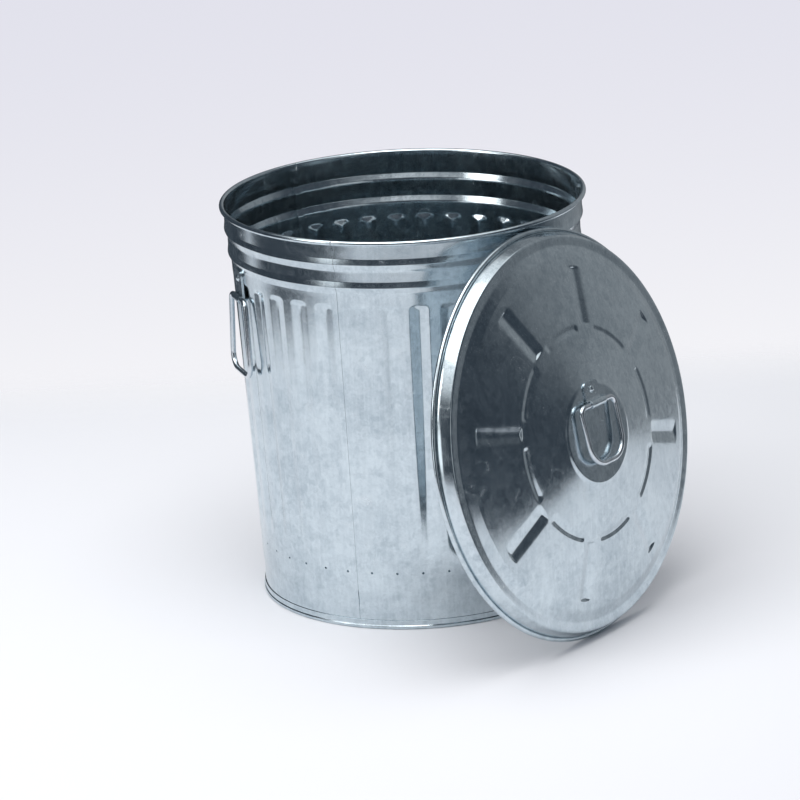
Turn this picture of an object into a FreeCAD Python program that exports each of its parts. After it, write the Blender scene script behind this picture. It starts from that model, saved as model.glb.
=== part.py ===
import FreeCAD, Part
import math
import os
from FreeCAD import Vector

# Galvanized steel bin with a loose lid. Millimetres, +Z up.
# The origin is on the floor, on the axis of the can. +X is the way the leaning lid faces.

# Sheet and wire
sheet = 0.8
wire_diameter = 5.0
wire_gap = 0.05          # between the edge wire and the sheet rolled round it
roll_step = 45.0         # degrees, one flat of a rolled edge and of the wire in it
roll_flats = 7           # flats in a rolled edge
touch_gap = 0.05         # between pieces that lie against each other

# Can, overall
can_height = 530.0
rim_radius = 240.0       # outside of the rolled rim
base_radius = 209.0      # outside of the bottom hem
panel_count = 3

# Can wall, heights from the floor
band_top = 36.0          # plain band that holds the bottom
swage_rise = 9.0         # height of the shoulder over that band
swage_step = 1.2         # how far that shoulder steps out
# Can wall, distances down from the rim
step_rise = 11.0         # height of each rolled shoulder
step_width = 3.2         # how far each shoulder steps in
upper_step_drop = 25.0   # rim to the top of the upper shoulder
lower_step_drop = 56.0   # rim to the top of the lower shoulder
shoulder_round = 9.0
swage_round = 14.0
rounding_step = 30.0     # degrees turned by one flat of a rounding

# Pressed ribs of one panel
rib_count = 12
rib_pitch = 9.8          # degrees
rib_half_angle = 3.15    # degrees
rib_depth = 2.9
rib_foot = 89.0          # lower end, from the floor
rib_top_drop = 88.0      # upper end, from the rim
rib_end_run = 4.0        # length over which a rib's end rises to the wall
rib_corner = 8.0

# Row of small holes above the base
hole_count = 13          # in one panel
hole_diameter = 3.2
hole_height = 77.0
hole_sides = 8

# Lock seam between two panels
seam_width = 8.0
fold_pitch = 1.0         # sheet plus the air between two folded layers
seam_foot = 50.0
seam_top_drop = 12.0

# Bottom
bottom_height = 34.0     # inside floor of the can
bottom_sheet = 1.0
bottom_ring_inset = 59.0     # hem to the step round the middle of the bottom
bottom_ring_rise = 3.0
hem_height = 12.0
hem_bead_height = 4.4

# Side handles
handle_drop = 110.0      # rim to the handle's bar
handle_wire = 7.0
bar_gap = 0.08           # running clearance of a bar in its knuckle
handle_top_width = 66.0
handle_foot_width = 86.0
handle_length = 104.0
handle_top_round = 9.0
handle_foot_round = 18.0
strap_sheet = 1.5
strap_width = 28.0
strap_height = 38.0      # bar to the strap's top edge
strap_rivet_height = 27.0
strap_corner = 6.0
rivet_diameter = 5.0
rivet_head_diameter = 10.0
rivet_head_height = 2.4
clench_height = 1.2
rivet_hole_gap = 0.1

# Lid
lid_room = 13.0              # rim of the can to the corner where the lid turns down
skirt_flare = 9.0            # that corner out to the wire in the lid's rolled edge
skirt_depth = 20.0           # top of the lid down to that wire's centre
lid_step_width = 14.0        # step inside the flat outer ring
cone_foot_height = 6.0
cone_slope = 0.2
boss_radius = 68.0
boss_rise = 2.0
boss_run = 4.0
lid_corner_round = 3.0
lid_rib_count = 8
lid_rib_turn = 30.3          # degrees, first radial rib from level
lid_rib_foot_gap = 12.0      # outer end of a radial rib to the step
lid_rib_inner = 138.0
lid_rib_half_width = 13.0
lid_rib_depth = 2.8
ring_groove_radius = 134.0
ring_groove_half_width = 6.0
ring_groove_depth = 1.8
ring_groove_span = 31.0      # degrees, one of the arcs between two radial ribs

# Lid handle
lid_bar_height = 40.0        # bar from the middle of the lid, up the slope
lid_bar_stand_off = 7.5      # bar's axis above the boss
lid_handle_width = 82.0
lid_handle_foot_width = 76.0
lid_handle_length = 80.0
lid_handle_top_round = 10.0
lid_handle_foot_round = 27.0
lid_handle_rest_gap = 0.3
lid_strap_width = 30.0
lid_strap_height = 28.0
lid_strap_rivet_height = 18.0

# How the pieces stand: azimuths in degrees from +X
seam_azimuth = -74.8
handle_azimuth = -124.4
lid_tilt = 10.5
lid_offset = -65.0           # middle of the lid, sideways from the can's axis
lean_gap = 0.35              # lid's rolled edge to the can

# Worked out from the above
panel_angle = 360.0 / panel_count
roll_radius = wire_diameter / 2 + sheet
roll_height = can_height - roll_radius
collar_radius = rim_radius - 2 * roll_radius + sheet
cone_top_radius = collar_radius - 2 * step_width
band_radius = base_radius - bottom_sheet - touch_gap - 1.1
cone_base_radius = band_radius + swage_step
cone_base_height = band_top + swage_rise
upper_step = can_height - upper_step_drop - step_rise
lower_step = can_height - lower_step_drop - step_rise
rib_top = can_height - rib_top_drop
wall_slope = (cone_top_radius - cone_base_radius) / (lower_step - cone_base_height)
wall_angle = math.atan(wall_slope)
seam_top = can_height - seam_top_drop
bar_radius = handle_wire / 2
knuckle_bore = bar_radius + bar_gap
knuckle_radius = knuckle_bore + strap_sheet
strap_stand_off = knuckle_radius + touch_gap
bar_height = can_height - handle_drop
lid_land_radius = rim_radius
lid_corner_radius = rim_radius + lid_room
lid_wire_radius = lid_corner_radius + skirt_flare
cone_foot_radius = lid_land_radius - lid_step_width
lid_rib_outer = cone_foot_radius - lid_rib_foot_gap


def cone_radius(height):
    return cone_base_radius + wall_slope * (height - cone_base_height)


def offset_points(points, distance):
    """Points moved to the right of the way they run, each with its rounding kept concentric."""
    moved = []
    for i, (x, z, fillet) in enumerate(points):
        before = points[max(i - 1, 0)]
        after = points[min(i + 1, len(points) - 1)]
        first = Vector(x - before[0], 0, z - before[1])
        second = Vector(after[0] - x, 0, after[1] - z)
        first = second if i == 0 else first
        second = first if i == len(points) - 1 else second
        first.normalize()
        second.normalize()
        middle = Vector(first.z + second.z, 0, -first.x - second.x)
        middle.normalize()
        reach = distance / (middle.x * first.z - middle.z * first.x)
        left_turn = first.x * second.z - first.z * second.x > 0
        rounding = fillet + distance if left_turn else fillet - distance
        moved.append((x + middle.x * reach, z + middle.z * reach, max(rounding, 0) if fillet else 0))
    return moved


def outline(points):
    """Corners of the line through the points, where each rounding becomes a few short flats."""
    corners = [Vector(points[0][0], 0, points[0][1])]
    for i in range(1, len(points) - 1):
        corner = Vector(points[i][0], 0, points[i][1])
        rounding = points[i][2]
        if rounding > 0:
            back = Vector(points[i - 1][0], 0, points[i - 1][1]) - corner
            ahead = Vector(points[i + 1][0], 0, points[i + 1][1]) - corner
            back.normalize()
            ahead.normalize()
            half = back.getAngle(ahead) / 2
            inward = back + ahead
            inward.normalize()
            centre = corner + inward * (rounding / math.sin(half))
            spoke = corner + back * (rounding / math.tan(half)) - centre
            side = spoke.cross(corner + ahead * (rounding / math.tan(half)) - centre)
            side.normalize()
            turn = math.pi - 2 * half
            flats = max(1, round(math.degrees(turn) / rounding_step))
            for k in range(flats + 1):
                step = FreeCAD.Rotation(side, math.degrees(turn) * k / flats)
                corners.append(centre + step.multVec(spoke))
        else:
            corners.append(corner)
    corners.append(Vector(points[-1][0], 0, points[-1][1]))
    return corners


def polygon_face(corners):
    return Part.Face(Part.makePolygon(corners + corners[:1]))


def section_face(points):
    return polygon_face([Vector(x, 0, z) for x, z in points])


def strip_face(points, near, far):
    """Section of a sheet between two distances to the right of a line."""
    return polygon_face(outline(offset_points(points, near)) + outline(offset_points(points, far))[::-1])


def ring_corner(x, z, radius, angle):
    turn = math.radians(angle)
    return Vector(x + radius * math.cos(turn), 0, z + radius * math.sin(turn))


def curl_face(x, z, start, turn):
    """Section of the sheet rolled round an edge wire, in flats from one angle and one way round."""
    angles = [start + turn * k * roll_step for k in range(roll_flats + 1)]
    inner = [ring_corner(x, z, wire_diameter / 2, angle) for angle in angles]
    outer = [ring_corner(x, z, roll_radius, angle) for angle in angles]
    return polygon_face(inner + outer[::-1])


def turned(face, start=0.0, angle=360.0):
    """Face in the XZ plane spun about Z, from one azimuth through an angle."""
    solid = face.revolve(Vector(0, 0, 0), Vector(0, 0, 1), angle)
    solid.rotate(Vector(0, 0, 0), Vector(0, 0, 1), start)
    return solid


def placed(shape, origin, x_axis, y_axis, z_axis):
    matrix = FreeCAD.Matrix(
        x_axis.x, y_axis.x, z_axis.x, origin.x,
        x_axis.y, y_axis.y, z_axis.y, origin.y,
        x_axis.z, y_axis.z, z_axis.z, origin.z,
        0, 0, 0, 1)
    copy = shape.copy()
    copy.Placement = FreeCAD.Placement(matrix).multiply(copy.Placement)
    return copy


def groove_tool(foot_half, top_half, length, depth, bulge, growth):
    """V-shaped pressing along Y under the plane z = 0, whose ends rise and have round corners.

    bulge is how far the sheet's own curve drops at the groove's edge. growth is the sheet
    thickness when the tool shapes the inner side of the sheet, and nothing for the outer side.
    """
    scale = foot_half / top_half
    flank = (depth - bulge) / top_half
    drop = growth * math.sqrt(1 + flank * flank)
    reach = 1.5 * top_half

    def triangle(y, size):
        corners = [
            Vector(-reach * size, y, (reach * flank - depth) * size - drop),
            Vector(0, y, -depth * size - drop),
            Vector(reach * size, y, (reach * flank - depth) * size - drop),
        ]
        return Part.makePolygon(corners + corners[:1])

    vee = Part.makeLoft([triangle(-length / 2, scale), triangle(length / 2, 1.0)], True, True)
    end = length / 2 + growth * 0.2
    run = rib_end_run
    rise = depth / run
    low = depth + drop + 1.0
    high = reach * flank
    trim_points = [
        Vector(0, -end + low / rise, -low), Vector(0, end - low / rise, -low),
        Vector(0, end + high / rise, high), Vector(0, -end - high / rise, high),
    ]
    trim = Part.Face(Part.makePolygon([p - Vector(reach, 0, drop) for p in trim_points + trim_points[:1]]))
    trim = trim.extrude(Vector(2 * reach, 0, 0))
    side = 0.3 + growth * 0.6
    box_points = [
        Vector(-foot_half - side, -end, -15), Vector(foot_half + side, -end, -15),
        Vector(top_half + side, end, -15), Vector(-top_half - side, end, -15),
    ]
    box = Part.Face(Part.makePolygon(box_points + box_points[:1])).extrude(Vector(0, 0, 30))
    uprights = [edge for edge in box.Edges if abs(edge.BoundBox.ZLength - 30) < 0.001]
    box = box.makeChamfer(rib_corner + growth * 0.5, uprights)
    return vee.common(trim).common(box)


def wall_ribs(growth):
    """The pressings of one panel, standing at their azimuths round the can."""
    middle = (rib_foot + rib_top) / 2
    length = (rib_top - rib_foot) / math.cos(wall_angle)
    half = math.radians(rib_half_angle)
    foot_half = cone_radius(rib_foot) * math.sin(half)
    top_half = cone_radius(rib_top) * math.sin(half)
    bulge = cone_radius(rib_top) * (1 - math.cos(half))
    tool = groove_tool(foot_half, top_half, length, rib_depth, bulge, growth)
    tools = []
    for i in range(rib_count):
        azimuth = math.radians((i - (rib_count - 1) / 2) * rib_pitch)
        outward = Vector(math.cos(azimuth), math.sin(azimuth), 0)
        normal = outward * math.cos(wall_angle) - Vector(0, 0, math.sin(wall_angle))
        along = outward * math.sin(wall_angle) + Vector(0, 0, math.cos(wall_angle))
        origin = outward * cone_radius(middle) + Vector(0, 0, middle)
        tools.append(placed(tool, origin, along.cross(normal), along, normal))
    return tools


def wall_holes():
    tools = []
    for i in range(hole_count):
        azimuth = math.radians((i - (hole_count - 1) / 2) * panel_angle / hole_count)
        outward = Vector(math.cos(azimuth), math.sin(azimuth), 0)
        level = Vector(-outward.y, outward.x, 0)
        start = outward * (cone_radius(hole_height) - 10) + Vector(0, 0, hole_height)
        corners = []
        for k in range(hole_sides):
            turn = 2 * math.pi * (k + 0.5) / hole_sides
            spoke = level * math.cos(turn) + Vector(0, 0, math.sin(turn))
            corners.append(start + spoke * (hole_diameter / 2))
        tools.append(polygon_face(corners).extrude(outward * 20))
    return tools


def wall_points():
    """Outer line of the wall, from its foot up to where the rim starts to roll."""
    return [
        (band_radius, bottom_sheet + touch_gap, 0),
        (band_radius, band_top, swage_round),
        (cone_base_radius, cone_base_height, swage_round),
        (cone_top_radius, lower_step, shoulder_round),
        (cone_top_radius + step_width, lower_step + step_rise, shoulder_round),
        (cone_top_radius + step_width, upper_step, shoulder_round),
        (collar_radius, upper_step + step_rise, shoulder_round),
        (collar_radius, roll_height, 0),
    ]


def make_panel():
    """One of the wall's sheets, with its middle at azimuth 0."""
    seam_angle = math.degrees(seam_width / cone_top_radius)
    fold_angle = math.degrees(sheet / cone_top_radius)
    slit_angle = math.degrees((fold_pitch - sheet) / cone_top_radius)
    near = -panel_angle / 2 - seam_angle / 2
    far = panel_angle / 2 - seam_angle / 2 - slit_angle
    span = far - near

    points = wall_points()
    low = rib_foot - 25
    high = rib_top + 4
    lower = points[:3] + [(cone_radius(low), low, 0)]
    upper = [(cone_radius(high), high, 0)] + points[3:]
    ribbed = [(cone_radius(low), low, 0), (cone_radius(high), high, 0)]

    foot = turned(strip_face(lower, -sheet, 0), near, span)
    collar = turned(strip_face(upper, -sheet, 0), near, span)
    curl = turned(curl_face(rim_radius - roll_radius, roll_height, 180, -1), near, span)
    middle = turned(strip_face(ribbed, -10, 0), near, span).cut(wall_ribs(0))
    hollow = turned(strip_face(ribbed, -12, -sheet), near - 1, span + 2).cut(wall_ribs(sheet))
    middle = middle.cut(hollow).cut(wall_holes())

    folds = []
    folded = [(cone_radius(seam_foot), seam_foot, 0)] + points[3:-1] + [(collar_radius, seam_top, 0)]

    def layer(depth, start, angle, thickness=sheet):
        inner = -depth * fold_pitch - thickness
        folds.append(turned(strip_face(folded, inner, -depth * fold_pitch), start, angle))

    # Outer hook, along this panel's near edge
    layer(0, near, fold_angle, 2 * fold_pitch + sheet)
    layer(2, near, seam_angle - fold_angle - slit_angle)
    # Inner hook, along its far edge
    layer(0, far - fold_angle, fold_angle, 3 * fold_pitch + sheet)
    layer(3, far - fold_angle, seam_angle + fold_angle + slit_angle)
    layer(1, far + slit_angle + seam_angle - fold_angle, fold_angle, 2 * fold_pitch + sheet)
    inner_return = seam_angle - fold_angle - slit_angle
    layer(1, far + 2 * slit_angle + fold_angle, inner_return)
    return foot.multiFuse([middle, collar, curl] + folds).removeSplitter()


def make_bottom():
    """Dished bottom, whose skirt goes down inside the wall and hems round its foot."""
    outside = band_radius - sheet - touch_gap
    inside = outside - bottom_sheet
    fold = band_radius + touch_gap
    top = bottom_height
    under = top - bottom_sheet
    ring = base_radius - bottom_ring_inset
    chamfer = 1.5
    section = [
        (0, under + bottom_ring_rise), (ring - bottom_ring_rise, under + bottom_ring_rise),
        (ring, under), (inside - chamfer, under), (inside, under - chamfer),
        (inside, 0), (base_radius - 0.8, 0), (base_radius, 0.8), (base_radius, hem_bead_height),
        (fold + bottom_sheet, hem_bead_height + 1), (fold + bottom_sheet, hem_height),
        (fold, hem_height), (fold, bottom_sheet), (outside, bottom_sheet),
        (outside, top - chamfer), (outside - chamfer, top), (ring, top),
        (ring - bottom_ring_rise, top + bottom_ring_rise), (0, top + bottom_ring_rise),
    ]
    return turned(section_face(section))


def edge_wire(radius, height):
    """Wire inside a rolled edge, with the same flats as the roll."""
    sides = round(360 / roll_step)
    radius_of_wire = wire_diameter / 2 - wire_gap
    corners = [ring_corner(radius, height, radius_of_wire, k * roll_step) for k in range(sides)]
    return turned(polygon_face(corners))


def rivet_hole(start, axis, length=20.0):
    return Part.makeCylinder(rivet_diameter / 2 + rivet_hole_gap, length, start, axis)


def make_strap(width, height, rivet_height, stand_off, backing):
    """Strip folded over a bar and riveted. X is along the bar, Y stands off, Z is up; bar at z = 0."""
    leaf = Part.makeBox(width, 2 * strap_sheet, height, Vector(-width / 2, backing, 0))
    upper_edges = [edge for edge in leaf.Edges if edge.BoundBox.ZMin > height - 0.001]
    top_edges = [edge for edge in upper_edges if abs(edge.BoundBox.YLength - 2 * strap_sheet) < 0.001]
    leaf = leaf.makeFillet(strap_corner, top_edges)
    centre = Vector(-width / 2, stand_off, 0)
    knuckle = Part.makeCylinder(knuckle_radius, width, centre, Vector(1, 0, 0))
    bore = Part.makeCylinder(knuckle_bore, width + 2, centre - Vector(1, 0, 0), Vector(1, 0, 0))
    hole = rivet_hole(Vector(0, -10, rivet_height), Vector(0, 1, 0))
    return leaf.fuse(knuckle).removeSplitter().cut(bore).cut(hole)


def make_rivet(height, backing, wall, seat):
    """Domed rivet through a strap and the sheet behind it, clenched on the far side."""
    front = backing + 2 * strap_sheet
    back = -wall - seat
    head = rivet_head_diameter / 2
    shank = rivet_diameter / 2
    crown = front + rivet_head_height
    section = [
        (0, back - clench_height), (shank * 1.1, back - clench_height), (shank * 1.7, back), (shank, back),
        (shank, front), (head, front), (head * 0.9, front + rivet_head_height * 0.45),
        (head * 0.6, front + rivet_head_height * 0.85), (0, crown),
    ]
    rivet = turned(section_face(section))
    return placed(rivet, Vector(0, 0, height), Vector(0, 0, 1), Vector(1, 0, 0), Vector(0, 1, 0))


def make_handle(top_width, foot_width, length, top_round, foot_round):
    """Closed wire loop hanging from its bar. X is along the bar, Z is up; the bar's axis is y = z = 0."""
    top = top_width / 2 - bar_radius
    foot = foot_width / 2 - bar_radius
    low = -length + bar_radius
    points = [(0, 0, 0), (top, 0, top_round), (foot, low, foot_round),
              (-foot, low, foot_round), (-top, 0, top_round), (0, 0, 0)]
    path = Part.makePolygon(outline(points))
    ring = Part.Wire(Part.makeCircle(bar_radius, Vector(0, 0, 0), Vector(1, 0, 0)))
    return path.makePipeShell([ring], True, False, 1)


def wall_frame(azimuth, height):
    """Origin on the wall's outer face and the axes of a piece that is riveted there."""
    turn = math.radians(azimuth)
    outward = Vector(math.cos(turn), math.sin(turn), 0)
    normal = outward * math.cos(wall_angle) - Vector(0, 0, math.sin(wall_angle))
    along = outward * math.sin(wall_angle) + Vector(0, 0, math.cos(wall_angle))
    origin = outward * cone_radius(height) + Vector(0, 0, height)
    return origin, normal.cross(along), normal, along


def lid_cone_height(radius):
    return cone_foot_height + (cone_foot_radius - radius) * cone_slope


def lid_ribs(growth):
    middle = (lid_rib_inner + lid_rib_outer) / 2
    slope = math.atan(cone_slope)
    length = (lid_rib_outer - lid_rib_inner) / math.cos(slope)
    bulge = lid_rib_half_width ** 2 * math.sin(slope) / (2 * middle)
    tool = groove_tool(lid_rib_half_width, lid_rib_half_width, length, lid_rib_depth, bulge, growth)
    tools = []
    for i in range(lid_rib_count):
        turn = math.radians(lid_rib_turn + i * 360 / lid_rib_count)
        outward = Vector(math.cos(turn), math.sin(turn), 0)
        along = outward * math.cos(slope) - Vector(0, 0, math.sin(slope))
        normal = outward * math.sin(slope) + Vector(0, 0, math.cos(slope))
        origin = outward * middle + Vector(0, 0, lid_cone_height(middle))
        tools.append(placed(tool, origin, along.cross(normal), along, normal))
    return tools


def lid_arcs(growth):
    """Arc-shaped grooves that join into a broken circle between the radial ribs."""
    slope = math.atan(cone_slope)
    along = Vector(math.cos(slope), 0, -math.sin(slope))
    normal = Vector(math.sin(slope), 0, math.cos(slope))
    centre = Vector(ring_groove_radius, 0, lid_cone_height(ring_groove_radius))
    flank = ring_groove_depth / ring_groove_half_width
    drop = growth * math.sqrt(1 + flank * flank)
    reach = 2 * ring_groove_half_width
    rim = normal * (reach * flank - ring_groove_depth - drop)
    corners = [centre - along * reach + rim, centre - normal * (ring_groove_depth + drop), centre + along * reach + rim]
    section = Part.Face(Part.makePolygon(corners + corners[:1]))
    pitch = 360 / lid_rib_count
    span = ring_groove_span + 2 * math.degrees(growth / ring_groove_radius)
    return [turned(section, lid_rib_turn + (i + 0.5) * pitch - span / 2, span) for i in range(lid_rib_count)]


def make_lid_cover():
    """Pressed lid in its own frame: Z out of its face, origin in the plane of its outer ring."""
    inner = boss_radius + 10
    outer = lid_rib_outer + 4
    middle = [(inner, lid_cone_height(inner), 0), (outer, lid_cone_height(outer), 0)]
    top = lid_cone_height(boss_radius) + boss_rise
    centre = [(0, top, 0), (boss_radius - boss_run, top, 0), (boss_radius, top - boss_rise, 0)] + middle[:1]
    tangent = lid_wire_radius - wire_diameter / 2
    border = middle[1:] + [
        (cone_foot_radius, cone_foot_height, 0), (lid_land_radius, 0, 0),
        (lid_corner_radius, 0, lid_corner_round), (tangent, -skirt_depth + 6, 20), (tangent, -skirt_depth, 0)]
    disc = turned(strip_face(centre, 0, sheet))
    skirt = turned(strip_face(border, 0, sheet))
    curl = turned(curl_face(lid_wire_radius, -skirt_depth, 180, 1))
    cone = turned(strip_face(middle, 0, 10)).cut(lid_ribs(0)).cut(lid_arcs(0))
    hollow = turned(strip_face(middle, sheet, 12)).cut(lid_ribs(sheet)).cut(lid_arcs(sheet))
    cover = disc.multiFuse([cone.cut(hollow), skirt, curl]).removeSplitter()
    rivet_foot = Vector(0, lid_bar_height + lid_strap_rivet_height, top - 10)
    return cover.cut(rivet_hole(rivet_foot, Vector(0, 0, 1)))


def clear_radius(level, size):
    """Least distance from the can's axis at which a ball of this radius is clear of the can."""
    circles = [(rim_radius - roll_radius, roll_height, size + roll_radius)]
    circles += [(r, z, size) for r, z, _ in wall_points()]
    clear = [0.0]
    for r, z, reach in circles:
        if abs(level - z) < reach:
            clear.append(r + math.sqrt(reach ** 2 - (level - z) ** 2))
    points = wall_points()
    for (r, z, _), (next_r, next_z, _) in zip(points, points[1:]):
        slope = (next_r - r) / (next_z - z)
        stretch = math.sqrt(1 + slope ** 2)
        nearest = level + size * slope / stretch
        if z <= nearest <= next_z:
            clear.append(r + slope * (level - z) + size * stretch)
    return max(clear)


def lean_distance():
    """How far out along +X the lid's wire ring stands when it leans on the can."""
    tilt = math.radians(lid_tilt)
    height = lid_wire_radius * math.cos(tilt) + roll_radius
    # Circles of the lid that may touch: radius, distance out from the wire ring, thickness
    circles = [(lid_wire_radius, 0, roll_radius), (lid_corner_radius, skirt_depth, 0),
               (lid_land_radius, skirt_depth, 0)]
    cone_steps = 16
    for k in range(cone_steps + 1):
        radius = boss_radius + (cone_foot_radius - boss_radius) * k / cone_steps
        circles.append((radius, skirt_depth + lid_cone_height(radius) - lid_rib_depth, 0))
    reach = 0.0
    steps = 1440
    for radius, out, thickness in circles:
        for i in range(steps):
            turn = 2 * math.pi * i / steps
            up = radius * math.sin(turn)
            across = lid_offset + radius * math.cos(turn)
            level = height + up * math.cos(tilt) + out * math.sin(tilt)
            clear = clear_radius(level, thickness + lean_gap)
            if abs(across) < clear:
                needed = math.sqrt(clear ** 2 - across ** 2) + up * math.sin(tilt) - out * math.cos(tilt)
                reach = max(reach, needed)
    return reach, height


nodes = {}


def add(name, shape):
    solids = shape.Solids
    assert shape.isValid() and solids, name
    nodes[name] = solids[0] if len(solids) == 1 else Part.makeCompound(solids)


# Can
panel = make_panel()
panel_names = ["panel_front", "panel_back", "panel_left"]
handle_azimuths = {"left": handle_azimuth, "right": handle_azimuth + 180}
rivet_holes = []
for azimuth in handle_azimuths.values():
    origin, across, normal, along = wall_frame(azimuth, bar_height)
    hole = rivet_hole(Vector(0, -15, strap_rivet_height), Vector(0, 1, 0), 30.0)
    rivet_holes.append(placed(hole, origin, across, normal, along))
for i, name in enumerate(panel_names):
    turned_panel = panel.copy()
    turned_panel.rotate(Vector(0, 0, 0), Vector(0, 0, 1), seam_azimuth + panel_angle * (i + 0.5))
    add(name, turned_panel.cut(rivet_holes))
add("bottom_pan", make_bottom())
add("rim_wire", edge_wire(rim_radius - roll_radius, roll_height))

handle_pivots = {}
for side, azimuth in handle_azimuths.items():
    origin, across, normal, along = wall_frame(azimuth, bar_height)
    strap = make_strap(strap_width, strap_height, strap_rivet_height, strap_stand_off, touch_gap)
    add(side + "_strap", placed(strap, origin, across, normal, along))
    bow = rivet_diameter ** 2 / (8 * cone_radius(bar_height)) + touch_gap
    rivet = make_rivet(strap_rivet_height, touch_gap, sheet, bow)
    add(side + "_rivet", placed(rivet, origin, across, normal, along))
    pivot = origin + normal * strap_stand_off
    handle_pivots[side] = pivot
    level = Vector(normal.x, normal.y, 0)
    level.normalize()
    loop = make_handle(handle_top_width, handle_foot_width, handle_length, handle_top_round, handle_foot_round)
    add(side + "_handle", placed(loop, pivot, across, level, Vector(0, 0, 1)))
    print(side, "handle pivot", pivot, "axis", across)

# Lid, leaning
reach, height = lean_distance()
tilt = math.radians(lid_tilt)
lid_normal = Vector(math.cos(tilt), 0, math.sin(tilt))
lid_up = Vector(-math.sin(tilt), 0, math.cos(tilt))
lid_across = Vector(0, 1, 0)
lid_origin = Vector(reach, lid_offset, height) + lid_normal * skirt_depth
boss_top = lid_cone_height(boss_radius) + boss_rise


def on_lid(shape, origin=Vector(0, 0, 0)):
    start = lid_origin + lid_across * origin.x + lid_up * origin.y + lid_normal * origin.z
    return placed(shape, start, lid_across, lid_up, lid_normal)


def on_boss(shape):
    """A strap or rivet, whose Y stands off and whose Z runs up the lid."""
    start = lid_origin + lid_up * lid_bar_height + lid_normal * boss_top
    return placed(shape, start, lid_across * -1, lid_normal, lid_up)


add("lid_cover", on_lid(make_lid_cover()))
add("lid_wire", on_lid(edge_wire(lid_wire_radius, -skirt_depth)))
lid_strap = make_strap(lid_strap_width, lid_strap_height, lid_strap_rivet_height, lid_bar_stand_off, touch_gap)
add("lid_strap", on_boss(lid_strap))
add("lid_rivet", on_boss(make_rivet(lid_strap_rivet_height, touch_gap, sheet, touch_gap)))
lid_handle = make_handle(lid_handle_width, lid_handle_foot_width, lid_handle_length,
                         lid_handle_top_round, lid_handle_foot_round)
drop = lid_bar_stand_off - bar_radius - lid_handle_rest_gap
lid_handle.rotate(Vector(0, 0, 0), Vector(1, 0, 0), math.degrees(math.asin(drop / (lid_handle_length - bar_radius))))
bar = lid_origin + lid_up * lid_bar_height + lid_normal * (boss_top + lid_bar_stand_off)
add("lid_handle", placed(lid_handle, bar, lid_across * -1, lid_normal, lid_up))
print("lid pivot", bar, "lid origin", lid_origin, "reach", reach, "height", height)

os.makedirs("parts", exist_ok=True)
for name, shape in nodes.items():
    shape.exportStep("parts/" + name + ".step")
    print(name, len(shape.Solids), round(shape.Volume))
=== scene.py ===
import math
import bpy
import bmesh
from mathutils import Matrix, Vector


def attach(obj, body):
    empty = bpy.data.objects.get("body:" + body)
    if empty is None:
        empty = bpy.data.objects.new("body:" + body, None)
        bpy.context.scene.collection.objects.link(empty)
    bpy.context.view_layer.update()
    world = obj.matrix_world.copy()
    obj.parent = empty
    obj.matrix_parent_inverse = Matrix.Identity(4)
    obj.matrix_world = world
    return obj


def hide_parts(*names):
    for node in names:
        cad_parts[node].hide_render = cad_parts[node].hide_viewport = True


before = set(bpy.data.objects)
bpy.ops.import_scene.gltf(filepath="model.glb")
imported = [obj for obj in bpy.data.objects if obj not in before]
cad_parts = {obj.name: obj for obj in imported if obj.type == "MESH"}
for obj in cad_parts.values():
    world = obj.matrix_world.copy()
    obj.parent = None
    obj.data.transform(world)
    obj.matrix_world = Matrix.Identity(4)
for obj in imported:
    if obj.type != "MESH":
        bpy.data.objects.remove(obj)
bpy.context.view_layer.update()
print("frame loaded")

mm = 0.001

# Sizes below are millimetres, with the can's axis as Z and the floor at 0

can = dict(
    sheet=0.8, height=530.0, rimRadius=240.0, rollWire=2.5,
    bandRadius=206.85, bandTop=36.0, swageRadius=208.05, swageTop=45.0,
    coneTopRadius=227.8, lowerStep=463.0, stepWidth=3.2,
    shoulderRound=9.0, swageRound=14.0, foot=1.05,
    bead=0.9, beadRound=2.5, upperBead=497.5, lowerBead=466.5, beadFlare=8.0, flareRound=12.0, beadReturn=8.0,
)
ribs = dict(
    count=12, pitch=9.8, halfAngle=3.15, depth=2.9, foot=89.0, top=442.0, rise=0.35, corner=8.0, ease=0.35,
    fade=42.0,
)
holes = dict(count=13, height=77.0, diameter=3.2, clear=1.0)
seam = dict(
    width=8.0, foot=50.0, top=518.0, margin=4.0, azimuth=-74.8, radius=228.0, rollStart=236.0,
    nearGap=0.4, nearFolds=[(2.0, 0.0), (0.0, 6.9)],
    farGap=0.6, farFolds=[(3.0, 0.0), (0.0, 8.4), (-2.0, 0.0), (0.0, -7.2)],
)
wallGrid = dict(columns=269, reach=3.0, ribTop=0.8, ribFoot=4.0, cone=12.0, plain=5.0)
edgeRound = 0.18


def roundedPath(points, arcSteps=6):
    # points are (x, z, rounding); corners with a rounding become arcs
    path = [Vector((points[0][0], 0, points[0][1]))]
    for before, here, after in zip(points, points[1:], points[2:]):
        corner = Vector((here[0], 0, here[1]))
        if here[2] > 0:
            back = (Vector((before[0], 0, before[1])) - corner).normalized()
            ahead = (Vector((after[0], 0, after[1])) - corner).normalized()
            half = back.angle(ahead) / 2
            start = corner + back * (here[2] / math.tan(half))
            centre = corner + (back + ahead).normalized() * (here[2] / math.sin(half))
            spoke = start - centre
            axis = back.cross(ahead)
            turn = -(math.pi - 2 * half)
            for k in range(arcSteps + 1):
                path.append(centre + Matrix.Rotation(turn * k / arcSteps, 3, axis) @ spoke)
        else:
            path.append(corner)
    path.append(Vector((points[-1][0], 0, points[-1][1])))
    return path


def rolledEdge(path, centreX, centreZ, radius, start, turn, steps=18):
    for k in range(1, steps + 1):
        angle = math.radians(start + turn * k / steps)
        path.append(Vector((centreX + radius * math.cos(angle), 0, centreZ + radius * math.sin(angle))))
    return path


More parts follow.
